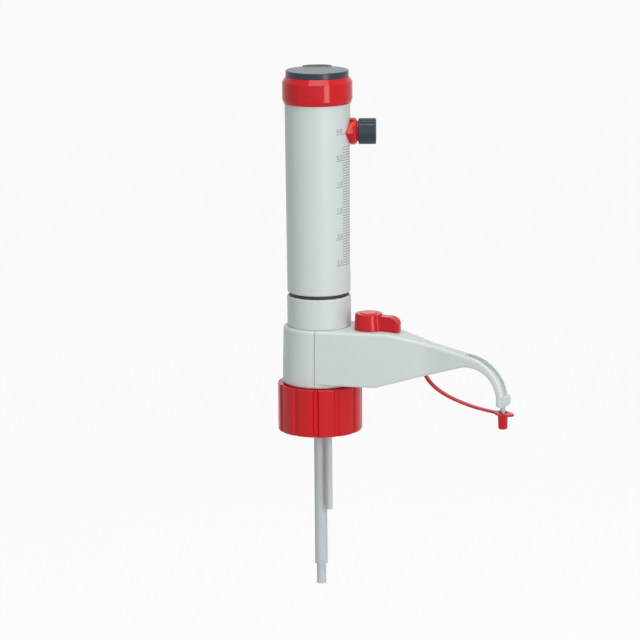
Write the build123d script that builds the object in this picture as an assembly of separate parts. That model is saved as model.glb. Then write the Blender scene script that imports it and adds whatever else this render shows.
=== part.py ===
from build123d import *
import math
import os

# Bottle-top dispenser, 0.5 to 2.5 mL, for a 45 mm screw neck. Millimetres.
# Origin: centre of the seat on the neck's rim. +Z runs up the piston's axis, +X along the spout.

# Collar
collar_radius = 26.2
collar_bore = 22.9
collar_bottom = -24.8
collar_top = 5.0
collar_wall = 2.6
collar_lobes = 12
collar_groove_width = 4.2
collar_groove_floor = 1.8
collar_groove_depth = 1.3
collar_groove_angle = 21.0
collar_edge = 0.7
collar_bottom_edge = 0.6

# Fits, how far a cut runs past the face it opens, and how near two places count as one
running_gap = 0.08
seat_gap = 0.05
easy_gap = 0.3
overcut = 1.0
match = 0.01

# Neck: the spigot that hangs below the rim and the flange that the collar pulls down on it
rim_seal_thickness = 1.2
rim_seal_radius = 20.6
flange_radius = 21.6
spigot_radius = 13.0
spigot_length = 13.0
spigot_lead = 0.6
seal_neck_step = 0.3
journal_radius = 15.0
journal_top = 19.0
column_step = 1.4
column_bottom = 36.0

# Housing: two shells round the valve block, drawn out into the spout
housing_gap = 0.2
housing_top = 41.3
housing_radius = 23.1
housing_draft = 1.5
housing_wall = 2.0
housing_top_edge = 2.0
housing_bottom_edge = 1.4
skirt_height = 5.0
seam_x = 7.2
seam_gap = 0.35

# Spout: side outline and plan
pad_end_x = 52.0
spout_half_width = 5.1
spout_narrow_x = 76.0
spout_bend_x = 104.0
spout_bend_z = 30.9
spout_nose_x = 125.8
spout_nose_z = 8.0
spout_belly_x = 44.0
spout_belly_z = 7.5
spout_knee_x = 97.0
spout_knee_z = 23.3
spout_inner_x = 121.4
spout_end_z = 1.6
nose_block_step = 1.3
nose_block_length = 4.0
nose_block_inset = 0.2
nose_block_chamfer = 1.0
plan_blend = 40.0
pad_blend = 30.0
belly_blend = 9.0
channel_floor = 1.2
channel_width = 5.8
channel_start_x = 100.0
groove_start_x = 88.0
groove_depth = 3.9
strap_hole_length = 3.4

# Discharge tube, nozzle cap and its strap
tube_radius = 1.5
tube_bore = 0.9
tube_start = 4.6
tube_end_z = -9.6
tube_nut_radius = 4.2
tube_nut_length = 6.0
cap_flange_top = -2.3
cap_flange_thickness = 1.3
cap_flange_radius = 5.2
cap_flange_edge = 0.4
cap_tab_offset = 4.0
cap_tab_radius = 3.2
cap_tilt = 5.0
cup_top_radius = 3.1
cup_end_radius = 2.8
cup_bottom = -12.6
cup_mouth = 2.6
cup_mouth_depth = 2.2
cup_floor = 1.2
cup_edge = 1.1
strap_width = 4.0
strap_thickness = 1.3
strap_gap = 0.25
strap_anchor_x = 71.4
strap_anchor_width = 5.8
strap_anchor_length = 4.6
strap_lead = (0.22, -0.98)
strap_sag = ((80.0, 8.2), (96.0, 1.4))

# Recirculation lever and its valve plug
lever_x = 34.2
lever_bottom_radius = 9.1
lever_top_radius = 8.4
lever_gap = 0.3
lever_height = 10.0
lever_reach = 20.9
lever_width = 6.7
lever_step = 1.0
lever_nose = 6.5
lever_drop = 4.2
lever_blend = 2.4
lever_edge = 0.8
lever_boss_radius = 5.6
lever_boss_height = 0.4
finger_round = 2.0
plug_radius = 4.5
plug_bottom = 15.0
plug_square = 5.6
plug_square_height = 5.5
plug_groove_z = 33.0
plug_groove_height = 1.8
plug_groove_depth = 0.9

# Head ring, bump ring, guide tube
guide_radius = 17.7
guide_wall = 2.4
guide_seat_step = 1.2
guide_flange_width = 1.0
guide_flange_height = 3.0
guide_past_zero = 9.8
head_ring_wall = 1.0
head_ring_height = 18.9
head_ring_edge = 1.0
bump_ring_width = 0.7
bump_ring_thickness = 1.8
dog_channel_width = 12.0
dog_channel_bottom = 68.0

# Volume: the bore follows from the stroke of the full volume
stroke = 81.2
full_volume = 2500.0
barrel_radius = 6.2
barrel_seat_z = 46.0
barrel_socket = 4.0
barrel_socket_wall = 3.0
barrel_seal_thickness = 1.0
barrel_spare = 3.0
bush_wall = 1.8
bush_height = 3.0
bush_skirt = 3.0
piston_rest = 0.5
piston_length = 14.0
piston_gap = 0.03
piston_stud_radius = 1.4
piston_stud_length = 7.0
rod_radius = 2.4

# Outer sleeve, plunger ring, end plate, calibration nut, top cap
bump_gap = 0.4
sleeve_wall_bottom = 1.55
sleeve_wall_top = 2.15
sleeve_edge = 0.8
shoulder_width = 2.5
shoulder_height = 3.0
slot_width = 8.0
slot_below_full = 6.5
slot_above_zero = 5.2
ring_above_zero = 17.8
ring_height = 16.2
ring_rim = 4.2
ring_wall = 1.45
ring_top_chamfer = 3.1
ring_top_slope = 2.2
ring_bottom_chamfer = 2.5
ring_bottom_slope = 0.9
ring_lip = 3.05
cap_inset = 2.3
cap_thickness = 3.7
cap_gap = 0.1
cap_edge = 0.5
cap_skirt_length = 3.8
cap_skirt_wall = 1.2
cap_lip_angle = 117.0
cap_lip_height = 0.8
cap_lip_width = 18.0
cap_lip_depth = 6.0
plate_thickness = 4.0
nut_radius = 6.5
nut_height = 3.9
nut_notches = 16
nut_notch_radius = 0.6

# Volume carriage on a radial axis: pointer, knob, slide nut and clamp screw
knob_angle = 25.0
zero_z = 162.2
saddle_gap = 0.2
pointer_radius = 8.3
pointer_height = 3.85
pointer_cone = 1.3
pointer_cone_reach = 1.1
pointer_tip = 10.7
pointer_neck_radius = 6.4
knob_gap = 0.9
knob_length = 10.8
knob_radius = 8.0
knob_edge = 0.9
knob_back_edge = 0.4
knob_lands = 3
knob_group = 3
knob_groove_radius = 0.6
knob_groove_pitch = 17.0
knob_group_angle = -135.4
nut_block_width = 11.0
nut_block_height = 14.0
nut_block_depth = 2.3
nut_neck_width = 7.4
nut_neck_height = 9.0
screw_radius = 2.0
screw_stand = 0.4
screw_cover = 2.9

# Valves and their passages
passage_radius = 1.5
inlet_radius = 6.0
inlet_top = 8.0
inlet_hex = 13.0
inlet_hex_height = 3.0
inlet_seat_z = 2.0
inlet_cage_radius = 3.5
inlet_bore = 1.8
inlet_ball_radius = 2.5
gasket_thickness = 1.0
nipple_radius = 3.0
nipple_length = 12.5
nipple_barbs = 3
nipple_barb_depth = 0.4
nipple_barb_step = 0.6
outlet_x = 20.0
outlet_chamber = 3.5
outlet_feed_z = 17.0
outlet_seat_bottom = 19.0
outlet_seat_top = 22.0
outlet_seat_bore = 1.3
outlet_ball_radius = 2.0
outlet_stop_radius = 1.2
outlet_stop_gap = 1.25
outlet_plug_bottom = 30.0
block_end_x = 43.0
block_half_width = 7.0
block_bottom = 13.0
block_top = 38.0
return_x = 8.5
return_y = -4.5
return_z = 20.0

# Tubes below the rim
filling_radius = 4.0
filling_bore = 3.05
filling_end = -112.0
extension_radius = 2.97
extension_bore = 2.0
extension_gap = 2.5
extension_end = -125.0
return_tube_radius = 1.8
return_tube_bore = 1.1
return_tube_top = -3.0
return_tube_end = -75.0

SLATE = Color(0.16, 0.20, 0.23)
RED = Color(0.75, 0.03, 0.06)
GREY = Color(0.80, 0.84, 0.84)
CLEAR = Color(0.85, 0.90, 0.92)
STEEL = Color(0.70, 0.71, 0.73)

# Heights and radii that follow from the sizes above
collar_wall_bottom = collar_top - collar_wall
flange_bottom = rim_seal_thickness
flange_top = collar_wall_bottom - running_gap
spigot_end = -spigot_length
housing_bottom = collar_top + housing_gap
seal_neck = spigot_radius + seal_neck_step
lever_bottom = housing_top + lever_gap
lever_top = lever_bottom + lever_height
head_ring_bottom = housing_top + housing_gap
head_ring_top = head_ring_bottom + head_ring_height
guide_bottom = head_ring_bottom + guide_seat_step
guide_flange_top = guide_bottom + guide_flange_height
guide_top = zero_z + guide_past_zero
bump_ring_top = head_ring_top + bump_ring_thickness
column_radius = guide_radius - column_step
guide_flange_radius = guide_radius + guide_flange_width
head_ring_radius = guide_flange_radius + seat_gap + head_ring_wall
bump_ring_radius = guide_radius + bump_ring_width
bore_radius = math.sqrt(full_volume / (math.pi * stroke))
barrel_bottom = barrel_seat_z + barrel_seal_thickness
piston_bottom = barrel_bottom + piston_rest
piston_top = piston_bottom + piston_length
barrel_top = piston_top + stroke + barrel_spare
bush_radius = barrel_radius + bush_wall
sleeve_bore = guide_radius + easy_gap
sleeve_radius_bottom = sleeve_bore + sleeve_wall_bottom
sleeve_radius_top = sleeve_bore + sleeve_wall_top
sleeve_bottom = bump_ring_top + bump_gap
ring_bottom = zero_z + ring_above_zero
ring_top = ring_bottom + ring_height
ring_radius = sleeve_radius_top + ring_wall
ring_mouth = sleeve_radius_top - ring_lip
sleeve_top = ring_top - ring_rim
shoulder_bore = sleeve_bore - shoulder_width
slot_bottom = zero_z - stroke - slot_below_full
slot_top = zero_z + slot_above_zero
plate_bottom = sleeve_top - plate_thickness
shoulder_bottom = plate_bottom - shoulder_height
cap_bottom = ring_top + cap_gap
cap_top = cap_bottom + cap_thickness
cap_radius = ring_radius - cap_inset
saddle_radius = sleeve_radius_top + saddle_gap
pointer_face = saddle_radius + pointer_height
knob_start = pointer_face + knob_gap
knob_end = knob_start + knob_length
nut_block_floor = guide_radius - nut_block_depth
screw_start = nut_block_floor - screw_stand
screw_end = knob_end - screw_cover
nut_bottom = sleeve_top + seat_gap
nut_top = nut_bottom + nut_height
gasket_bottom = spigot_end - gasket_thickness
hex_bottom = gasket_bottom - inlet_hex_height
nipple_end = hex_bottom - nipple_length
filling_top = hex_bottom - seat_gap
extension_top = nipple_end - extension_gap

# The spout's inner bend is an arc tangent to the rising underside; the tube bends about the same centre
belly_slope = math.atan2(spout_knee_z - spout_belly_z, spout_knee_x - spout_belly_x)
bend_end_z = spout_nose_z / 2
bend_chord = math.hypot(spout_inner_x - spout_knee_x, spout_knee_z - bend_end_z)
bend_turn = belly_slope + math.atan2(spout_knee_z - bend_end_z, spout_inner_x - spout_knee_x)
inner_bend_radius = bend_chord / (2 * math.sin(bend_turn))
bend_centre_x = spout_knee_x + inner_bend_radius * math.sin(belly_slope)
bend_centre_z = spout_knee_z - inner_bend_radius * math.cos(belly_slope)
floor_radius = inner_bend_radius + channel_floor
tube_bend_radius = floor_radius + seat_gap + tube_radius
outlet_z = bend_centre_z + tube_bend_radius
nozzle_x = bend_centre_x + tube_bend_radius

parts = {}


def keep(name, shape, color):
    """Name a finished piece and remember it."""
    shape.label = name
    shape.color = color
    parts[name] = shape


def rod(radius, bottom, top, x=0.0, y=0.0):
    """Upright cylinder between two heights."""
    return Pos(x, y, bottom) * extrude(Circle(radius), top - bottom)


def ring(outer, inner, bottom, top, x=0.0, y=0.0):
    """Upright tube between two heights."""
    return rod(outer, bottom, top, x, y) - rod(inner, bottom, top, x, y)


def bar(radius, x_start, x_end, z, y=0.0):
    """Level cylinder along X."""
    return Pos(x_start, y, z) * Rot(0, 90, 0) * extrude(Circle(radius), x_end - x_start)


def block(x_start, x_end, half_width, bottom, top):
    """Box centred on the spout's plane."""
    size = (x_end - x_start, 2 * half_width, top - bottom)
    return Pos((x_start + x_end) / 2, 0, (bottom + top) / 2) * Box(*size)


def turned(*points):
    """Solid of revolution about Z from an outline of (radius, height) points."""
    outline = Polyline(*[(r, 0, z) for r, z in points], close=True)
    return revolve(make_face(outline), Axis.Z)


def edges_at(shape, z):
    """Edges whose middle lies at one height, longest last."""
    found = shape.edges().filter_by(lambda e: abs(e.center().Z - z) < match)
    return found.sort_by(lambda e: e.length)


def radial(distance=0.0):
    """Placement on the knob's axis: Z outwards, X down, Y round the sleeve."""
    return Rot(0, 0, knob_angle) * Pos(distance, 0, zero_z) * Rot(0, 90, 0)


def sleeve_radius_at(z):
    """Outside radius of the tapered sleeve at a height."""
    share = (z - sleeve_bottom) / (sleeve_top - sleeve_bottom)
    return sleeve_radius_bottom + share * (sleeve_radius_top - sleeve_radius_bottom)


def side_outline(inset):
    """Housing and spout seen from the side, moved in by a wall."""
    top = housing_top - inset
    belly = (spout_belly_x, spout_belly_z + inset)
    rear = -2 * housing_radius
    down = Vector(spout_bend_x - pad_end_x, spout_bend_z - housing_top)
    up = Vector(spout_knee_x - spout_belly_x, spout_knee_z - spout_belly_z)
    bend = (spout_bend_x, spout_bend_z - inset)
    nose = (spout_nose_x - inset, spout_nose_z)
    knee = (spout_knee_x, spout_knee_z + inset)
    bend_end = (spout_inner_x + inset, bend_end_z)
    upper = Polyline((rear, top), (pad_end_x, top), bend)
    outer_arc = TangentArc(bend, nose, tangent=down)
    tip = Polyline(nose, (nose[0], spout_end_z), (bend_end[0], spout_end_z), bend_end)
    inner_arc = TangentArc(knee, bend_end, tangent=up)
    lower = Polyline(knee, belly, (rear, belly[1]), (rear, top))
    face = make_face([upper, outer_arc, tip, inner_arc, lower])
    face = fillet(face.vertices().filter_by(lambda v: abs(v.X - pad_end_x) < match), pad_blend)
    turn = face.vertices().filter_by(lambda v: abs(v.X - belly[0]) + abs(v.Y - belly[1]) < match)
    return fillet(turn, belly_blend)


def plan_outline(inset, spread):
    """Housing and spout seen from above: a round body drawn out tangentially into a narrow bar."""
    radius = housing_radius - inset + spread
    half = spout_half_width - inset + spread
    reach = math.hypot(spout_narrow_x, half)
    touch = math.atan2(half, spout_narrow_x) + math.acos(radius / reach)
    touch_x = radius * math.cos(touch)
    touch_y = radius * math.sin(touch)
    far_x = spout_nose_x + housing_radius
    outline = Polyline((touch_x, -touch_y), (spout_narrow_x, -half), (far_x, -half),
                       (far_x, half), (spout_narrow_x, half), (touch_x, touch_y), close=True)
    wedge = make_face(outline)
    corners = wedge.vertices().filter_by(lambda v: abs(v.X - spout_narrow_x) < match)
    return Circle(radius) + fillet(corners, plan_blend)


def housing_form(inset):
    """Closed form of housing and spout, moved in by a wall, with the moulding's draft."""
    low = spout_end_z - overcut
    spread = (housing_bottom - low) * math.tan(math.radians(housing_draft))
    plan = extrude(plan_outline(inset, spread), housing_top - low + overcut, taper=housing_draft)
    side = extrude(Plane.XZ * side_outline(inset), 2 * housing_radius, both=True)
    return Pos(0, 0, low) * plan & side


def skirt_form(inset):
    """Round foot of the housing, which reaches lower than the spout's belly."""
    draft = math.tan(math.radians(housing_draft))
    low_radius = housing_radius - inset * (1 + draft)
    return Pos(0, 0, housing_bottom + inset) * extrude(Circle(low_radius), skirt_height, taper=housing_draft)


def tube_along_path(radius):
    """Round solid along the discharge tube's way: level to the bend, then down to the tip."""
    path = FilletPolyline((lever_x + tube_start, 0, outlet_z), (nozzle_x, 0, outlet_z),
                          (nozzle_x, 0, tube_end_z), radius=tube_bend_radius)
    return sweep(Plane(origin=path @ 0, z_dir=path % 0) * Circle(radius), path=path)


def rim_edges(shape, side):
    """Edges between the walls and the faces that look up (side 1) or down (side -1)."""
    flat = shape.faces().filter_by(lambda f: side * f.normal_at().Z > 0.25)
    return [e for f in flat for e in f.edges() if abs(e.tangent_at(0.5).Y) < 0.98 or e.center().X < 0]


# Collar: a union nut, free on the neck's journal, with a lobed grip; its thread bore is plain
collar = turned((collar_bore, collar_bottom), (collar_radius, collar_bottom), (collar_radius, collar_top),
                (journal_radius + running_gap, collar_top),
                (journal_radius + running_gap, collar_wall_bottom), (collar_bore, collar_wall_bottom))
collar = fillet(edges_at(collar, collar_top)[-1:], collar_edge)
collar = chamfer(edges_at(collar, collar_bottom)[-1:], collar_bottom_edge)
flank = (collar_groove_width - collar_groove_floor) / 2 / collar_groove_depth
groove_floor = (collar_radius - collar_groove_depth, collar_groove_floor / 2)
groove_mouth = (collar_radius + overcut, collar_groove_width / 2 + flank * overcut)
groove = make_face(Polyline((groove_floor[0], -groove_floor[1]), (groove_mouth[0], -groove_mouth[1]),
                            groove_mouth, groove_floor, close=True))
groove = Pos(0, 0, collar_bottom - overcut) * extrude(groove, collar_top - collar_bottom + 2 * overcut)
for lobe in range(collar_lobes):
    collar -= Rot(0, 0, collar_groove_angle + lobe * 360 / collar_lobes) * groove
keep("bottle_collar", collar, RED)

# Rim seal: flat washer between the flange and the rim
keep("rim_seal", ring(rim_seal_radius, seal_neck + seat_gap, 0, rim_seal_thickness), CLEAR)

# Valve block: neck flange, spigot, journal, column, valve arm and barrel socket in one moulding
valve_block = chamfer(edges_at(rod(spigot_radius, spigot_end, 0), spigot_end), spigot_lead)
valve_block += rod(seal_neck, 0, guide_bottom) + rod(flange_radius, flange_bottom, flange_top)
valve_block += rod(journal_radius, flange_top, journal_top)
valve_block += rod(column_radius, column_bottom, guide_bottom)
valve_block += block(0, block_end_x, block_half_width, block_bottom, block_top)
valve_block += rod(barrel_radius + barrel_socket_wall, guide_bottom, barrel_seat_z + barrel_socket)
valve_block -= rod(inlet_radius + seat_gap, spigot_end, inlet_top)
valve_block -= rod(passage_radius, inlet_top, barrel_seat_z)
valve_block -= rod(barrel_radius + seat_gap, barrel_seat_z, barrel_seat_z + barrel_socket)
valve_block -= bar(passage_radius, 0, outlet_x, outlet_feed_z)
valve_block -= rod(passage_radius, outlet_feed_z, outlet_seat_bottom, x=outlet_x)
valve_block -= rod(outlet_chamber, outlet_seat_bottom, guide_bottom, x=outlet_x)
valve_block -= bar(passage_radius, outlet_x, lever_x, outlet_z)
valve_block -= rod(plug_radius, plug_bottom, block_top, x=lever_x)
valve_block -= bar(tube_radius + seat_gap, lever_x, block_end_x, outlet_z)
valve_block -= bar(passage_radius, return_x, lever_x, return_z, y=return_y)
valve_block -= rod(return_tube_radius + seat_gap, spigot_end, return_z, x=return_x, y=return_y)
keep("valve_block", valve_block, CLEAR)

# Housing shells: a hollow form with rounded edges, split by a vertical seam
shell = housing_form(0)
shell = fillet(rim_edges(shell, 1), housing_top_edge)
shell = fillet(rim_edges(shell, -1), housing_bottom_edge)
skirt = skirt_form(0)
shell += fillet(edges_at(skirt, housing_bottom), housing_bottom_edge)
nose_end = spout_nose_x + nose_block_step
nose_block = block(nose_end - nose_block_length, nose_end, spout_half_width - nose_block_inset,
                   spout_end_z, spout_nose_z)
nose_front = nose_block.edges().filter_by(Axis.Y).filter_by(lambda e: e.center().X > spout_nose_x)
shell += chamfer(nose_front, nose_block_chamfer)
hollow = housing_form(housing_wall) & block(-housing_radius, channel_start_x, housing_radius, 0, housing_top)
shell -= hollow + skirt_form(housing_wall)
shell -= rod(column_radius + seat_gap, block_top, housing_top + overcut)
shell -= rod(journal_radius + 2 * seat_gap, collar_top, housing_bottom + 2 * housing_wall)
shell -= rod(plug_radius + seat_gap, block_top, housing_top + overcut, x=lever_x)
hole_start = strap_anchor_x - strap_thickness / 2
hole_end = hole_start + strap_hole_length
shell -= block(hole_start, hole_end, strap_width / 2 + easy_gap,
               spout_belly_z, bend_centre_z + inner_bend_radius)
# The tube lies in a groove that opens into a slot along the outside of the bend
floor_z = bend_centre_z + floor_radius
shell -= block(groove_start_x, bend_centre_x, channel_width / 2, floor_z, floor_z + groove_depth)
shell -= block(channel_start_x, bend_centre_x, channel_width / 2, floor_z, housing_top)
sector = Circle(2 * floor_radius) - Circle(floor_radius)
sector &= Pos(floor_radius, floor_radius) * Rectangle(2 * floor_radius, 2 * floor_radius)
slot = extrude(Plane.XZ * Pos(bend_centre_x, bend_centre_z) * sector, channel_width / 2, both=True)
slot_end_x = nose_end + overcut
shell -= slot & block(bend_centre_x - overcut, slot_end_x, channel_width, spout_nose_z, housing_top)
shell -= tube_along_path(tube_radius + seat_gap) & block(
    bend_centre_x, slot_end_x, channel_width, tube_end_z, outlet_z)
rear_side = block(-2 * housing_radius, seam_x - seam_gap / 2, 2 * housing_radius, 0, housing_top + overcut)
spout_side = block(seam_x + seam_gap / 2, slot_end_x, 2 * housing_radius, 0, housing_top + overcut)
keep("rear_cover", shell & rear_side, GREY)
keep("spout_cover", shell & spout_side, GREY)

# Head ring: clamps the guide tube's flange on the valve block
head_ring = turned((guide_flange_radius + seat_gap, head_ring_bottom), (head_ring_radius, head_ring_bottom),
                   (head_ring_radius, head_ring_top), (guide_radius + seat_gap, head_ring_top),
                   (guide_radius + seat_gap, guide_flange_top + seat_gap),
                   (guide_flange_radius + seat_gap, guide_flange_top + seat_gap))
head_ring = fillet(edges_at(head_ring, head_ring_top)[-1:], head_ring_edge)
keep("head_ring", head_ring, GREY)

# Bump ring: rubber stop under the sleeve
bump_ring = ring(bump_ring_radius, guide_radius + seat_gap, head_ring_top, bump_ring_top)
keep("bump_ring", bump_ring, SLATE)

# Guide tube: carries the sleeve; its channel lets the slide nut pass
guide = ring(guide_radius, guide_radius - guide_wall, guide_bottom, guide_top)
guide += ring(guide_flange_radius, guide_radius - guide_wall, guide_bottom, guide_flange_top)
channel = block(0, 2 * guide_radius, dog_channel_width / 2, dog_channel_bottom, guide_top)
keep("guide_tube", guide - Rot(0, 0, knob_angle) * channel, GREY)

# Measuring barrel of glass, its seal and the bush at its top
keep("glass_barrel", ring(barrel_radius, bore_radius, barrel_bottom, barrel_top), CLEAR)
keep("barrel_seal", ring(barrel_radius, bore_radius, barrel_seat_z, barrel_bottom), CLEAR)
bush = rod(bush_radius, barrel_top - bush_skirt, barrel_top + bush_height)
bush -= rod(barrel_radius + seat_gap, barrel_top - bush_skirt, barrel_top)
bush -= rod(rod_radius + running_gap, barrel_top, barrel_top + bush_height)
keep("barrel_bush", bush, GREY)

# Piston and its rod
piston = rod(bore_radius - piston_gap, piston_bottom, piston_top)
piston -= rod(piston_stud_radius + seat_gap, piston_top - piston_stud_length, piston_top)
keep("piston", piston, CLEAR)
piston_rod = rod(rod_radius, piston_top, nut_top) + rod(
    piston_stud_radius, piston_top - piston_stud_length, piston_top)
keep("piston_rod", piston_rod, STEEL)

# Outer sleeve: tapered grip tube with the pointer's slot and a shoulder for the end plate
sleeve = turned((sleeve_bore, sleeve_bottom), (sleeve_radius_bottom, sleeve_bottom),
                (sleeve_radius_top, sleeve_top), (sleeve_bore, sleeve_top), (sleeve_bore, plate_bottom),
                (shoulder_bore, plate_bottom), (shoulder_bore, shoulder_bottom),
                (sleeve_bore, shoulder_bottom))
sleeve = fillet(edges_at(sleeve, sleeve_bottom)[-1:], sleeve_edge)
slot_outline = SlotOverall(slot_top - slot_bottom, slot_width)
slot_middle = (slot_top + slot_bottom) / 2
slot_cut = Pos(0, 0, slot_middle - zero_z) * radial() * extrude(slot_outline, 2 * sleeve_bore)
keep("outer_sleeve", sleeve - slot_cut, GREY)

# Plunger ring: the grip that the fingers lift
sleeve_seat = sleeve_radius_at(sleeve_top) + seat_gap
plunger_ring = turned((sleeve_seat, ring_bottom), (ring_radius - ring_bottom_slope, ring_bottom),
                      (ring_radius, ring_bottom + ring_bottom_chamfer),
                      (ring_radius, ring_top - ring_top_chamfer), (ring_radius - ring_top_slope, ring_top),
                      (ring_mouth, ring_top), (ring_mouth, sleeve_top), (sleeve_seat, sleeve_top))
keep("plunger_ring", plunger_ring, RED)

# End plate on the sleeve's shoulder, which drives the rod through the calibration nut
end_plate = ring(sleeve_bore - seat_gap, rod_radius + seat_gap, plate_bottom, sleeve_top)
keep("end_plate", end_plate, GREY)
nut = ring(nut_radius, rod_radius + running_gap, nut_bottom, nut_top)
for notch in range(nut_notches):
    nut -= Rot(0, 0, notch * 360 / nut_notches) * rod(
        nut_notch_radius, nut_bottom, nut_top, x=nut_radius)
keep("calibration_nut", nut, GREY)

# Top cap: a lid with a skirt in the ring's mouth and a raised thumb lip
skirt_radius = ring_mouth - 2 * running_gap
top_cap = rod(cap_radius, cap_bottom, cap_top)
top_cap = fillet(edges_at(top_cap, cap_top), cap_edge)
top_cap += ring(skirt_radius, skirt_radius - cap_skirt_wall, cap_bottom - cap_skirt_length, cap_bottom)
lip_root = cap_top - cap_edge
lip_top = cap_top + cap_lip_height
lip_outline = Polyline((cap_radius - cap_lip_depth, lip_root), (cap_radius, lip_root), (cap_radius, lip_top),
                       (cap_radius - cap_lip_height, lip_top), close=True)
lip = extrude(Plane.XZ * make_face(lip_outline), cap_lip_width / 2, both=True)
top_cap += Rot(0, 0, cap_lip_angle) * (lip & rod(cap_radius, cap_bottom, lip_top))
keep("top_cap", top_cap, SLATE)

# Volume pointer: a red collar saddled on the sleeve, with a ridge that points at the scale
pointer = radial() * extrude(Circle(pointer_radius), pointer_face)
pointer -= radial(pointer_face - pointer_cone) * extrude(
    Circle(2 * pointer_radius) - Circle(pointer_radius), pointer_cone)
rims = pointer.edges().filter_by(GeomType.CIRCLE).sort_by(lambda e: math.hypot(e.center().X, e.center().Y))
pointer = chamfer(rims[-1:], pointer_cone, pointer_cone_reach)
touch_angle = math.acos(pointer_radius / pointer_tip)
touch_x = pointer_radius * math.sin(touch_angle)
touch_y = -pointer_radius * math.cos(touch_angle)
ridge = make_face(Polyline((-touch_x, touch_y), (0, -pointer_tip), (touch_x, touch_y), close=True))
pointer += radial() * extrude(ridge, pointer_face - 2 * pointer_cone)
neck_start = pointer_face - pointer_cone
pointer += radial(neck_start) * extrude(Circle(pointer_neck_radius), knob_start - running_gap - neck_start)
pointer -= rod(saddle_radius, 0, 2 * zero_z)
pointer -= radial() * extrude(Circle(screw_radius + running_gap), knob_end)
keep("volume_pointer", pointer, RED)

# Slide nut behind the sleeve: runs in the guide's channel, its neck in the sleeve's slot
nut_block = radial(nut_block_floor) * extrude(Rectangle(nut_block_height, nut_block_width), guide_radius)
nut_block &= rod(guide_radius, 0, 2 * zero_z)
neck = radial(nut_block_floor) * extrude(SlotOverall(nut_neck_height, nut_neck_width), guide_radius)
nut_block += neck & rod(saddle_radius - seat_gap, 0, 2 * zero_z)
nut_block -= radial() * extrude(Circle(screw_radius + running_gap), knob_end)
keep("slide_nut", nut_block, GREY)

# Volume knob with three smooth lands between groups of grip grooves, and the clamp screw moulded in it
knob = radial(knob_start) * extrude(Circle(knob_radius), knob_end - knob_start)
rims = knob.edges().filter_by(GeomType.CIRCLE).sort_by(lambda e: math.hypot(e.center().X, e.center().Y))
knob = fillet(rims[-1:], knob_edge)
knob = fillet(knob.edges().filter_by(GeomType.CIRCLE).sort_by(
    lambda e: math.hypot(e.center().X, e.center().Y))[:1], knob_back_edge)
grip = extrude(Circle(knob_groove_radius), knob_end - knob_start)
for land in range(knob_lands):
    for line in range(knob_group):
        turn = knob_group_angle + land * 360 / knob_lands + (line - (knob_group - 1) / 2) * knob_groove_pitch
        knob -= radial(knob_start) * Rot(0, 0, turn) * Pos(knob_radius, 0, 0) * grip
knob -= radial() * extrude(Circle(screw_radius + seat_gap), screw_end)
keep("volume_knob", knob, SLATE)
keep("clamp_screw", radial(screw_start) * extrude(Circle(screw_radius), screw_end - screw_start), STEEL)

# Inlet valve: screwed into the spigot, with a ball on its seat and a barbed nipple
barb_pitch = nipple_length / nipple_barbs
nipple_core = nipple_radius - nipple_barb_depth
barbs = [(nipple_core, hex_bottom)]
for barb in range(nipple_barbs):
    barb_end = hex_bottom - (barb + 1) * barb_pitch
    barbs += [(nipple_radius, barb_end + nipple_barb_step), (nipple_core, barb_end)]
inlet_body = turned((inlet_bore, nipple_end), (inlet_bore, inlet_seat_z), (inlet_cage_radius, inlet_seat_z),
                    (inlet_cage_radius, inlet_top - seat_gap), (inlet_radius, inlet_top - seat_gap),
                    (inlet_radius, hex_bottom), *barbs)
hexagon = extrude(RegularPolygon(inlet_hex / 2, 6, major_radius=False), inlet_hex_height)
hexagon = Pos(0, 0, hex_bottom) * hexagon
inlet_body += hexagon - rod(inlet_bore, hex_bottom, gasket_bottom)
keep("inlet_valve_body", inlet_body, CLEAR)
gasket_radius = math.hypot(return_x, return_y) - return_tube_radius - 2 * easy_gap
keep("inlet_gasket", ring(gasket_radius, inlet_radius + seat_gap, gasket_bottom, spigot_end), SLATE)
ball_rise = math.sqrt(inlet_ball_radius ** 2 - inlet_bore ** 2) + seat_gap
keep("inlet_ball", Pos(0, 0, inlet_seat_z + ball_rise) * Sphere(inlet_ball_radius), STEEL)

# Outlet valve: seat, ball and the plug that closes its chamber
outlet_seat = ring(outlet_chamber - seat_gap, outlet_seat_bore, outlet_seat_bottom, outlet_seat_top,
                   x=outlet_x)
keep("outlet_seat", outlet_seat, CLEAR)
outlet_rise = math.sqrt(outlet_ball_radius ** 2 - outlet_seat_bore ** 2) + seat_gap
outlet_ball_z = outlet_seat_top + outlet_rise
keep("outlet_ball", Pos(outlet_x, 0, outlet_ball_z) * Sphere(outlet_ball_radius), STEEL)
outlet_plug = rod(outlet_chamber - seat_gap, outlet_plug_bottom, block_top, x=outlet_x)
stop_bottom = outlet_ball_z + outlet_ball_radius + outlet_stop_gap
outlet_plug += rod(outlet_stop_radius, stop_bottom, outlet_plug_bottom, x=outlet_x)
keep("outlet_plug", outlet_plug, GREY)

# Valve plug under the lever: its cross bore opens to the spout or, turned, to the return passage
valve_plug = rod(plug_radius - seat_gap, plug_bottom + seat_gap, lever_bottom, x=lever_x)
valve_plug += Pos(lever_x, 0, lever_bottom + plug_square_height / 2) * Box(
    plug_square, plug_square, plug_square_height)
valve_plug -= bar(passage_radius, lever_x - plug_radius, lever_x + plug_radius, outlet_z)
groove_inner = plug_radius - seat_gap - plug_groove_depth
valve_plug -= ring(plug_radius, groove_inner, plug_groove_z, plug_groove_z + plug_groove_height, x=lever_x)
keep("valve_plug", valve_plug, CLEAR)
plug_seal = ring(plug_radius - seat_gap, groove_inner, plug_groove_z + seat_gap,
                 plug_groove_z + plug_groove_height - seat_gap, x=lever_x)
keep("plug_seal", plug_seal, SLATE)

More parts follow.
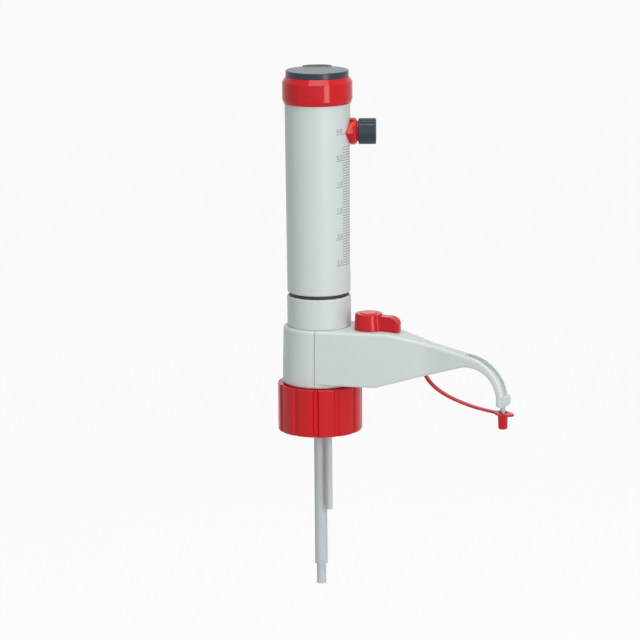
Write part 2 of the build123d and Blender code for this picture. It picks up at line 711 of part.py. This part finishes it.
# Recirculation lever: round hub with a finger that lies along the spout
lever_end = lever_x + lever_reach
finger_top = lever_top - lever_step
finger_low = finger_top - lever_drop
nose_start = lever_end - lever_nose
finger = make_face([
    Polyline((lever_x, finger_top), (nose_start, finger_top)),
    TangentArc((nose_start, finger_top), (lever_end, finger_low), tangent=(1, 0)),
    Polyline((lever_end, finger_low), (lever_end, lever_bottom), (lever_x, lever_bottom),
             (lever_x, finger_top))])
finger = extrude(Plane.XZ * finger, lever_width / 2, both=True)
finger = fillet(finger.edges().filter_by(
    lambda e: abs(e.center().X - lever_end) < match and abs(e.tangent_at(0.5).Z) > 0.9), finger_round)
lever = Pos(lever_x, 0, 0) * turned((0, lever_bottom), (lever_bottom_radius, lever_bottom),
                                    (lever_top_radius, lever_top), (0, lever_top)) + finger
corners = lever.edges().filter_by(
    lambda e: abs(e.tangent_at(0.5).Z) > 0.99 and e.center().X < nose_start
    and abs(abs(e.center().Y) - lever_width / 2) < match)
lever = fillet(corners, lever_blend)
lever = fillet(edges_at(lever, lever_top)[-1:], lever_edge)
boss = rod(lever_boss_radius, lever_top, lever_top + lever_boss_height, x=lever_x)
lever += chamfer(edges_at(boss, lever_top + lever_boss_height), lever_boss_height / 2)
socket = plug_square / 2 + seat_gap
socket_top = lever_bottom + plug_square_height + seat_gap
lever -= block(lever_x - socket, lever_x + socket, socket, lever_bottom, socket_top)
keep("recirculation_lever", lever, RED)

# Discharge tube: level from the valve to the bend, then down through the nose to the tip
keep("discharge_tube", tube_along_path(tube_radius) - tube_along_path(tube_bore), CLEAR)
tube_nut = Pos(block_end_x, 0, outlet_z) * Rot(0, 90, 0) * extrude(
    RegularPolygon(tube_nut_radius, 6) - Circle(tube_radius + seat_gap), tube_nut_length)
keep("tube_nut", tube_nut, GREY)

# Nozzle cap: a cup on the tube's tip with a round flange and a pull tab
flange_outline = make_hull([*Circle(cap_flange_radius).edges(),
                            *(Pos(cap_tab_offset, 0) * Circle(cap_tab_radius)).edges()])
cap_flange = extrude(flange_outline, -cap_flange_thickness)
cap_flange = fillet(cap_flange.edges().filter_by(lambda e: abs(e.tangent_at(0.5).Z) < match), cap_flange_edge)
cap_flange = Pos(nozzle_x, 0, cap_flange_top) * Rot(0, cap_tilt, 0) * cap_flange
cup_top = cap_flange_top - cap_flange_thickness / 2
cup = Pos(nozzle_x, 0, 0) * turned((0, cup_bottom), (cup_end_radius, cup_bottom),
                                   (cup_top_radius, cup_top), (0, cup_top))
cup = fillet(edges_at(cup, cup_bottom), cup_edge)
nozzle_cap = cap_flange + cup - rod(tube_radius + easy_gap, cup_bottom + cup_floor, 0, x=nozzle_x)
nozzle_cap -= rod(cup_mouth, cap_flange_top - cup_mouth_depth, 0, x=nozzle_x)
keep("nozzle_cap", nozzle_cap, RED)

# Strap: a flat band from its button inside the spout, through the underside, hanging to the cap's flange
button_end = strap_anchor_x + strap_anchor_length / 2
inner_floor = spout_belly_z + housing_wall + (button_end - spout_belly_x) * math.tan(belly_slope)
strap_top = inner_floor + easy_gap + strap_thickness
strap_end = (nozzle_x - cap_flange_radius - strap_gap, cap_flange_top - strap_gap)
strap_start = TangentArc((strap_anchor_x, strap_top), strap_sag[0], tangent=strap_lead)
strap_middle = TangentArc(*strap_sag, tangent=strap_start % 1)
strap_rest = TangentArc(strap_sag[1], strap_end, tangent=strap_middle % 1)
strap_path = Wire((Plane.XZ * (strap_start + strap_middle + strap_rest)).edges())
strap_section = Plane(origin=strap_path @ 0, x_dir=(0, 1, 0), z_dir=strap_path % 0) * Rectangle(
    strap_width, strap_thickness)
strap = sweep(strap_section, path=strap_path)
strap += block(button_end - strap_anchor_length, button_end, strap_anchor_width / 2,
               strap_top - strap_thickness, strap_top)
keep("cap_strap", strap, RED)

# Tubes below the rim: telescopic filling tube and the return tube
keep("filling_tube", ring(filling_radius, filling_bore, filling_end, filling_top), CLEAR)
keep("intake_extension", ring(extension_radius, extension_bore, extension_end, extension_top), CLEAR)
return_tube = ring(return_tube_radius, return_tube_bore, return_tube_end, return_tube_top,
                   x=return_x, y=return_y)
keep("recirculation_tube", return_tube, CLEAR)

os.makedirs("parts", exist_ok=True)
for name, shape in parts.items():
    export_step(shape, f"parts/{name}.step")
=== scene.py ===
import bpy
import math
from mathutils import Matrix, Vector


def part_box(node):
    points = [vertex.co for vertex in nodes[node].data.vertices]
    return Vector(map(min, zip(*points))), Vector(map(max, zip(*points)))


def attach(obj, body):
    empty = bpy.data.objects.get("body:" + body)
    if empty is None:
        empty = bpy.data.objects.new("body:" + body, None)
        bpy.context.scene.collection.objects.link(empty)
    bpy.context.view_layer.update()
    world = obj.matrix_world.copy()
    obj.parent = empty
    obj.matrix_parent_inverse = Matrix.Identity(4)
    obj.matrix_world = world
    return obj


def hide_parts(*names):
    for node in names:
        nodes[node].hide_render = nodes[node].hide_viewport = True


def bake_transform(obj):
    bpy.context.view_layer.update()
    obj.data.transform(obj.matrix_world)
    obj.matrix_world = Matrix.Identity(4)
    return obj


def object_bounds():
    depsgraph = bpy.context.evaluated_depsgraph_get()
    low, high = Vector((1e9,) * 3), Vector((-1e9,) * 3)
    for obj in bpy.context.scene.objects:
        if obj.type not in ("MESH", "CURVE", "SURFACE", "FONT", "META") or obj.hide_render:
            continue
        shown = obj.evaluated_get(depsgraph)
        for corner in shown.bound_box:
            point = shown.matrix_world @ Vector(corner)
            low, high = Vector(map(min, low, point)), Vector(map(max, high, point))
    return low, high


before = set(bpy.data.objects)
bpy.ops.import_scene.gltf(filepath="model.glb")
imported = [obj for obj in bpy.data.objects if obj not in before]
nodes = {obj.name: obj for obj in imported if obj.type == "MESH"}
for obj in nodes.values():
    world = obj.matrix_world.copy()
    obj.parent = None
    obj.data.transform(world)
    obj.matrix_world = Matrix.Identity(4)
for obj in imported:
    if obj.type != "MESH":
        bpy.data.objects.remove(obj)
cad_low, cad_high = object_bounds()
bpy.ops.object.select_all(action="DESELECT")

# Camera and studio.
# The dispenser is seen from its front right and slightly from above, two metres away. A bright upright strip
# lights it from the right, and soft boxes by the camera, on the left and overhead fill in.
azimuth = math.radians(27)
elevation = math.radians(12)
distance = 2.0
camera_roll = math.radians(-0.52)
target = Vector((0, 0, 0.044))
towards = Vector((math.sin(azimuth) * math.cos(elevation), -math.cos(azimuth) * math.cos(elevation),
                  math.sin(elevation)))
bpy.ops.object.camera_add(location=target + distance * towards)
camera = bpy.context.object
camera.rotation_euler = towards.to_track_quat("Z", "Y").to_euler()
camera.rotation_euler.rotate_axis("Z", camera_roll)
camera.data.lens = 181.5
camera.data.sensor_width = 36
camera.data.shift_x = 0.0011
bpy.context.scene.camera = camera
bpy.context.scene.view_settings.view_transform = "Standard"
lamp_aim = Vector((0, 0, 0.06))


def lamp(name, turn, height, reach, width, tall, power):
    """Soft box aimed at the middle of the dispenser, turned right of the camera by an angle in degrees."""
    angle = azimuth + math.radians(turn)
    place = Vector((reach * math.sin(angle), -reach * math.cos(angle), height))
    bpy.ops.object.light_add(type="AREA", location=place)
    made = bpy.context.object
    made.name = name
    made.data.shape = "RECTANGLE"
    made.data.size = width
    made.data.size_y = tall
    made.data.energy = power
    made.rotation_euler = (place - lamp_aim).to_track_quat("Z", "Y").to_euler()


lamp("camera_box", turn=16, height=0.34, reach=1.3, width=1.0, tall=0.9, power=0.9)
lamp("bright_strip", turn=31, height=0.32, reach=1.25, width=0.38, tall=0.9, power=6.2)
lamp("wide_box", turn=-34, height=0.34, reach=1.3, width=1.6, tall=0.9, power=0.8)
lamp("top_box", turn=10, height=1.5, reach=0.4, width=1.2, tall=1.0, power=14)


def rays_that_see_white(tree):
    """Gives 1 to what the camera sees, straight, mirrored or through clear pieces, and 0 to other light."""
    rays = tree.nodes.new("ShaderNodeLightPath")
    found = rays.outputs["Is Camera Ray"]
    for kind in ("Is Transmission Ray", "Is Glossy Ray"):
        either = tree.nodes.new("ShaderNodeMath")
        either.operation = "MAXIMUM"
        tree.links.new(found, either.inputs[0])
        tree.links.new(rays.outputs[kind], either.inputs[1])
        found = either.outputs[0]
    return found


studio = bpy.data.worlds.new("studio")
bpy.context.scene.world = studio
studio.use_nodes = True
around = studio.node_tree
dim = around.nodes["Background"]
dim.inputs["Color"].default_value = (0.93, 0.95, 1.0, 1)
dim.inputs["Strength"].default_value = 0.22
white = around.nodes.new("ShaderNodeBackground")
white.inputs["Color"].default_value = (1, 1, 1, 1)
choice = around.nodes.new("ShaderNodeMixShader")
around.links.new(rays_that_see_white(around), choice.inputs["Fac"])
around.links.new(dim.outputs[0], choice.inputs[1])
around.links.new(white.outputs[0], choice.inputs[2])
around.links.new(choice.outputs[0], around.nodes["World Output"].inputs["Surface"])

# Floor.
# A plain sheet of matt pale paper, which keeps a faint shadow. It lies low enough for the extension to be
# drawn out of the filling tube above it.
floor_gap = 0.080
floor_side = 24
floor_whiteness = 0.93
bpy.ops.mesh.primitive_plane_add(size=floor_side, location=(0, 0, cad_low.z - floor_gap))
floor = bpy.context.object
floor.name = "floor"
paper = bpy.data.materials.new("floor_paper")
paper.use_nodes = True
sheet = paper.node_tree
matt = sheet.nodes["Principled BSDF"]
matt.inputs["Base Color"].default_value = (0.85, 0.85, 0.85, 1)
matt.inputs["Roughness"].default_value = 0.9
glow = sheet.nodes.new("ShaderNodeEmission")
share = sheet.nodes.new("ShaderNodeMath")
share.operation = "MULTIPLY"
share.inputs[1].default_value = floor_whiteness
blend = sheet.nodes.new("ShaderNodeMixShader")
sheet.links.new(rays_that_see_white(sheet), share.inputs[0])
sheet.links.new(share.outputs[0], blend.inputs["Fac"])
sheet.links.new(matt.outputs[0], blend.inputs[1])
sheet.links.new(glow.outputs[0], blend.inputs[2])
sheet.links.new(blend.outputs[0], sheet.nodes["Material Output"].inputs["Surface"])
floor.data.materials.append(paper)

# Collar.
# A union nut of glossy red polypropylene with a lobed grip, moulded in one shot. It screws down on the neck
# that carries the dispenser and pulls the head on to its rim.
flow_scale = 38
flow_detail = 3
glossier = 0.04
duller = 0.05
grain_detail = 2
grain_strength = 0.6
edge_radius = 0.0003
edge_samples = 8


def moulded(name, colour, shade, roughness, grain, relief, mirror=0.5):
    """Injection-moulded plastic: faint flow in colour and gloss, fine grain, and softly rounded edges."""
    made = bpy.data.materials.new(name)
    made.use_nodes = True
    tree = made.node_tree
    shader = tree.nodes["Principled BSDF"]
    shader.inputs["Specular IOR Level"].default_value = mirror
    place = tree.nodes.new("ShaderNodeTexCoord")
    flow = tree.nodes.new("ShaderNodeTexNoise")
    flow.inputs["Scale"].default_value = flow_scale
    flow.inputs["Detail"].default_value = flow_detail
    tone = tree.nodes.new("ShaderNodeMixRGB")
    tone.inputs["Color1"].default_value = (*colour, 1)
    tone.inputs["Color2"].default_value = (*shade, 1)
    gloss = tree.nodes.new("ShaderNodeMapRange")
    gloss.inputs["To Min"].default_value = roughness - glossier
    gloss.inputs["To Max"].default_value = roughness + duller
    texture = tree.nodes.new("ShaderNodeTexNoise")
    texture.inputs["Scale"].default_value = grain
    texture.inputs["Detail"].default_value = grain_detail
    edges = tree.nodes.new("ShaderNodeBevel")
    edges.samples = edge_samples
    edges.inputs["Radius"].default_value = edge_radius
    bump = tree.nodes.new("ShaderNodeBump")
    bump.inputs["Strength"].default_value = grain_strength
    bump.inputs["Distance"].default_value = relief
    tree.links.new(place.outputs["Object"], flow.inputs["Vector"])
    tree.links.new(place.outputs["Object"], texture.inputs["Vector"])
    tree.links.new(flow.outputs["Fac"], tone.inputs["Fac"])
    tree.links.new(flow.outputs["Fac"], gloss.inputs["Value"])
    tree.links.new(tone.outputs["Color"], shader.inputs["Base Color"])
    tree.links.new(gloss.outputs["Result"], shader.inputs["Roughness"])
    tree.links.new(texture.outputs["Fac"], bump.inputs["Height"])
    tree.links.new(edges.outputs["Normal"], bump.inputs["Normal"])
    tree.links.new(bump.outputs["Normal"], shader.inputs["Normal"])
    return made


def paint(material, *names):
    """Gives CAD nodes their real material."""
    for name in names:
        held = nodes[name].data.materials
        held.clear()
        held.append(material)


glossy_red = moulded("glossy_red_plastic", (0.64, 0.002, 0.008), (0.57, 0.002, 0.006), roughness=0.12,
                     grain=900, relief=0.000006, mirror=0.28)
paint(glossy_red, "bottle_collar")

# Thread inside the collar.
# Four turns of a coarse ridge with sloping flanks, 4 mm apart, moulded with the collar. Both ends of the
# ridge fade into the wall.
thread_pitch = 0.004
thread_turns = 4
thread_wall = 0.0230
thread_crest = 0.0216
thread_root_half = 0.0013
thread_crest_half = 0.0006
thread_start = -0.0212
thread_fade = math.radians(35)
thread_end_depth = 0.0001
thread_steps = 96
smooth_angle = math.radians(40)
bpy.ops.mesh.primitive_plane_add(size=1, location=(0, 0, 0))
thread = bpy.context.object
thread.name = "collar_thread"
for corner in thread.data.vertices:
    outer = corner.co.x > 0
    half = thread_root_half if outer else thread_crest_half
    corner.co = (thread_wall if outer else thread_crest, 0, thread_start + math.copysign(half, corner.co.y))
winding = thread.modifiers.new("winding", "SCREW")
winding.screw_offset = thread_pitch
winding.iterations = thread_turns
winding.steps = thread_steps
winding.render_steps = thread_steps
winding.use_merge_vertices = True
bpy.ops.object.modifier_apply(modifier="winding")
bpy.ops.object.mode_set(mode="EDIT")
bpy.ops.mesh.select_all(action="DESELECT")
bpy.ops.mesh.select_non_manifold()
bpy.ops.mesh.fill_holes(sides=8)
bpy.ops.mesh.select_all(action="SELECT")
bpy.ops.mesh.normals_make_consistent(inside=False)
bpy.ops.object.mode_set(mode="OBJECT")
for point in thread.data.vertices:
    turn = math.atan2(point.co.y, point.co.x)
    about = math.tau * (point.co.z - thread_start) / thread_pitch
    wound = turn + math.tau * round((about - turn) / math.tau)
    share_left = min(wound, math.tau * thread_turns - wound) / thread_fade
    if share_left < 1:
        radius = math.hypot(point.co.x, point.co.y)
        to_wall = thread_wall + thread_end_depth - radius
        stretch = 1 + to_wall * (1 - max(share_left, 0)) / radius
        point.co.x *= stretch
        point.co.y *= stretch
bpy.ops.object.shade_smooth_by_angle(angle=smooth_angle)
thread.data.materials.append(glossy_red)
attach(thread, "collar")

# Neck, valve block and seals.
# The valve block is one piece of white fluoropolymer: spigot, flange, journal, column and barrel socket. The
# flat washers, the piston and the valves' small turned parts are the same stuff.
milk_white = moulded("white_fluoropolymer", (0.80, 0.82, 0.81), (0.74, 0.77, 0.76), roughness=0.46,
                     grain=1500, relief=0.00002)
milk_shader = milk_white.node_tree.nodes["Principled BSDF"]
milk_shader.inputs["Subsurface Weight"].default_value = 0.25
milk_shader.inputs["Subsurface Radius"].default_value = (0.002, 0.002, 0.002)
paint(milk_white, "valve_block", "rim_seal", "barrel_seal", "piston", "inlet_valve_body", "outlet_seat",
      "valve_plug")

# Housing and spout.
# Two shells of satin light-grey polypropylene round the valve block, closed along an upright seam. The head
# ring, the outer sleeve and the small inner parts are moulded in the same grey.
grey_plastic = moulded("satin_grey_plastic", (0.66, 0.72, 0.71), (0.62, 0.68, 0.67), roughness=0.42,
                       grain=2600, relief=0.00001)
paint(grey_plastic, "rear_cover", "spout_cover", "head_ring", "outer_sleeve", "guide_tube", "end_plate",
      "calibration_nut", "barrel_bush", "outlet_plug", "tube_nut", "slide_nut")

# Scale on the outer sleeve.
# Printed in grey ink beside the pointer's slot: a line at zero, then ten to each half millilitre from the
# smallest volume down, with the longer ones numbered up to the full volume at the bottom.
slot_turn = math.radians(25)
zero_height = 0.1622
step_height = 0.01624
step_volume = 0.5
full_steps = 5
lines_between = 10
first_line = 5
line_near = math.radians(-13)
line_far = math.radians(-39)
long_far = math.radians(-54)
line_height = 0.00034
line_cuts = 4
ink_rise = 0.00005
ink_sunk = 0.00015
ink_thickness = ink_sunk + ink_rise
ink_middle = (ink_sunk - ink_rise) / 2
digit_height = 0.0027
digit_share = 0.72
number_rise = 0.0009
foot_radius = 0.01955
sleeve_low, sleeve_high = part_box("outer_sleeve")
sleeve_taper = (sleeve_high.x - foot_radius) / (sleeve_high.z - sleeve_low.z)
arc_radius = sleeve_high.x


def lay_on_sleeve(piece):
    """Bends a flat drawing, x along the arc and z up, round the sleeve; y is negative outwards."""
    for point in piece.data.vertices:
        turn = slot_turn + point.co.x / arc_radius
        radius = foot_radius + (point.co.z - sleeve_low.z) * sleeve_taper - point.co.y
        point.co = (radius * math.cos(turn), radius * math.sin(turn), point.co.z)


def gather(pieces, name):
    """Joins pieces into one, with its place in its mesh."""
    bpy.ops.object.select_all(action="DESELECT")
    for piece in pieces:
        piece.select_set(True)
    bpy.context.view_layer.objects.active = pieces[0]
    bpy.ops.object.join()
    bpy.ops.object.transform_apply(location=True, rotation=True, scale=True)
    pieces[0].name = name
    return pieces[0]


lines = []
for count in [0, *range(first_line, full_steps * lines_between + 1)]:
    start = line_near * arc_radius
    end = (line_far if count % lines_between else long_far) * arc_radius
    height = zero_height - count * step_height / lines_between
    bpy.ops.mesh.primitive_cube_add(size=1, location=((start + end) / 2, ink_middle, height),
                                    scale=(start - end, ink_thickness, line_height))
    lines.append(bpy.context.object)
    bpy.ops.object.mode_set(mode="EDIT")
    bpy.ops.mesh.subdivide(number_cuts=line_cuts)
    bpy.ops.object.mode_set(mode="OBJECT")
scale_lines = gather(lines, "scale_lines")
lay_on_sleeve(scale_lines)

numbers = []
for step in range(full_steps + 1):
    place = ((line_far + long_far) / 2 * arc_radius, ink_middle,
             zero_height - step * step_height + number_rise)
    bpy.ops.object.text_add(location=place, rotation=(math.pi / 2, 0, 0))
    label = bpy.context.object
    label.data.body = f"{step * step_volume:.1f}"
    label.data.align_x = "CENTER"
    label.data.size = digit_height / digit_share
    label.data.extrude = ink_thickness / 2
    bpy.ops.object.convert(target="MESH")
    numbers.append(bpy.context.object)
scale_numbers = gather(numbers, "scale_numbers")
lay_on_sleeve(scale_numbers)

grey_ink = bpy.data.materials.new("grey_ink")
grey_ink.use_nodes = True
ink_tree = grey_ink.node_tree
ink_shader = ink_tree.nodes["Principled BSDF"]
ink_shader.inputs["Roughness"].default_value = 0.55
ink_place = ink_tree.nodes.new("ShaderNodeTexCoord")
ink_cover = ink_tree.nodes.new("ShaderNodeTexNoise")
ink_cover.inputs["Scale"].default_value = 1800
ink_tone = ink_tree.nodes.new("ShaderNodeValToRGB")
thick_ink, thin_ink = ink_tone.color_ramp.elements
thick_ink.position = 0.3
thick_ink.color = (0.19, 0.20, 0.21, 1)
thin_ink.position = 0.7
thin_ink.color = (0.29, 0.31, 0.31, 1)
ink_tree.links.new(ink_place.outputs["Object"], ink_cover.inputs["Vector"])
ink_tree.links.new(ink_cover.outputs["Fac"], ink_tone.inputs["Fac"])
ink_tree.links.new(ink_tone.outputs["Color"], ink_shader.inputs["Base Color"])
for printed in (scale_lines, scale_numbers):
    printed.data.materials.append(grey_ink)
    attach(printed, "plunger")

# Red grips.
# The plunger ring is pushed on the sleeve's top end and glued. The pointer, the lever and the nozzle cap are
# moulded in the same glossy red.
paint(glossy_red, "plunger_ring", "volume_pointer", "recirculation_lever", "nozzle_cap")

# Top cap and volume knob.
# Both are moulded in a satin blue-grey slate plastic. The cap's skirt sits in the ring's mouth over the
# calibration nut, and the knob holds the clamp screw.
slate_plastic = moulded("satin_slate_plastic", (0.022, 0.042, 0.058), (0.019, 0.035, 0.049), roughness=0.26,
                        grain=2200, relief=0.00001, mirror=0.34)
paint(slate_plastic, "top_cap", "volume_knob")

# Strap of the nozzle cap.
# A flat band of the same soft red plastic, moulded with the cap. A button holds it inside the spout, and it
# hangs in a slack bow to the cap's flange.
strap_half_width = 0.0020
strap_half_thickness = 0.00065
bow = ((0.0714, 0.0206), (0.0717, 0.0176), (0.0742, 0.0131), (0.0800, 0.0080), (0.0885, 0.0038),
       (0.0978, 0.0009), (0.1075, -0.0014), (0.1190, -0.0027))
bpy.ops.curve.primitive_nurbs_path_add()
strap = bpy.context.object
strap.name = "strap_band"
strap.data.splines.clear()
line = strap.data.splines.new("NURBS")
line.points.add(len(bow) - 1)
for point, (along, height) in zip(line.points, bow):
    point.co = (along, height, 0, 1)
line.order_u = 3
line.use_endpoint_u = True
line.resolution_u = 12
strap.data.dimensions = "2D"
strap.data.fill_mode = "NONE"
strap.data.extrude = strap_half_width - strap_half_thickness
strap.data.bevel_depth = strap_half_thickness
strap.data.bevel_resolution = 3
strap.rotation_euler = (math.pi / 2, 0, 0)
bpy.ops.object.convert(target="MESH")
bpy.ops.object.transform_apply(location=True, rotation=True, scale=True)
strap.data.materials.append(glossy_red)
bpy.ops.object.shade_smooth_by_angle(angle=smooth_angle)
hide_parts("cap_strap")
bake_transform(strap)


# Tubes.
# Clear fluoropolymer, drawn to size and slightly milky. The filling tube slides on the inlet valve's barbs
# and its extension telescopes in it; the discharge tube has a thicker wall, less clear, bent round the spout.
# Its grey is also darker than the other tubes', as painted shade of the slot that it lies in along the spout.
def let_light_through(material, share, refraction):
    """Makes a material clear by a share of 1, with the light bent as the real stuff bends it."""
    shader = material.node_tree.nodes["Principled BSDF"]
    shader.inputs["Transmission Weight"].default_value = share
    shader.inputs["IOR"].default_value = refraction


clear_tube = moulded("clear_tube", (0.72, 0.76, 0.77), (0.70, 0.74, 0.75), roughness=0.24, grain=700,
                     relief=0.000003)
let_light_through(clear_tube, share=0.2, refraction=1.36)
paint(clear_tube, "filling_tube", "recirculation_tube", "intake_extension")
# Darker grey than the clear tube: painted shade of the spout's slot, on top of the thicker, less clear wall.
painted_shade_tube = moulded("painted_shade_clear_tube", (0.58, 0.61, 0.61), (0.54, 0.58, 0.58), roughness=0.3, grain=700,
                     relief=0.000003)
paint(painted_shade_tube, "discharge_tube")

# Bump ring, gasket and plug seal.
# Black rubber, moulded and left matt. The bump ring takes the sleeve's weight at the bottom of the stroke;
# the gasket and the seal keep the inlet valve and the valve plug tight.
rubber = moulded("black_rubber", (0.022, 0.022, 0.024), (0.032, 0.032, 0.034), roughness=0.62, grain=1400,
                 relief=0.00004)
paint(rubber, "bump_ring", "inlet_gasket", "plug_seal")

# Measuring barrel.
# A ground tube of clear borosilicate glass inside the guide tube. It stands on a washer in the valve block,
# and a bush steadies its top.
barrel_glass = moulded("borosilicate_glass", (0.95, 0.98, 0.98), (0.93, 0.97, 0.97), roughness=0.06,
                       grain=400, relief=0.000002)
let_light_through(barrel_glass, share=0.95, refraction=1.47)
paint(barrel_glass, "glass_barrel")

# Valve balls.
# Polished ceramic balls, ground true, white with a faint cream tone. Each lies loose on its seat, lifts with
# the flow and drops back when it stops.
ceramic = moulded("polished_ceramic", (0.86, 0.85, 0.80), (0.82, 0.81, 0.76), roughness=0.1, grain=1200,
                  relief=0.000002)
paint(ceramic, "inlet_ball", "outlet_ball")

# Piston rod and clamp screw.
# Turned stainless steel. The rod shows the fine rings that the lathe leaves across its length, and the screw
# is moulded into the knob.
steel = bpy.data.materials.new("turned_steel")
steel.use_nodes = True
steel_tree = steel.node_tree
steel_shader = steel_tree.nodes["Principled BSDF"]
steel_shader.inputs["Metallic"].default_value = 1
steel_place = steel_tree.nodes.new("ShaderNodeTexCoord")
lathe = steel_tree.nodes.new("ShaderNodeTexWave")
lathe.wave_type = "BANDS"
lathe.bands_direction = "Z"
lathe.inputs["Scale"].default_value = 900
lathe.inputs["Distortion"].default_value = 1.5
steel_tone = steel_tree.nodes.new("ShaderNodeValToRGB")
groove, crest = steel_tone.color_ramp.elements
groove.color = (0.50, 0.50, 0.51, 1)
crest.color = (0.64, 0.64, 0.65, 1)
steel_gloss = steel_tree.nodes.new("ShaderNodeMapRange")
steel_gloss.inputs["To Min"].default_value = 0.22
steel_gloss.inputs["To Max"].default_value = 0.34
steel_tree.links.new(steel_place.outputs["Object"], lathe.inputs["Vector"])
steel_tree.links.new(lathe.outputs["Fac"], steel_tone.inputs["Fac"])
steel_tree.links.new(lathe.outputs["Fac"], steel_gloss.inputs["Value"])
steel_tree.links.new(steel_tone.outputs["Color"], steel_shader.inputs["Base Color"])
steel_tree.links.new(steel_gloss.outputs["Result"], steel_shader.inputs["Roughness"])
paint(steel, "piston_rod", "clamp_screw")
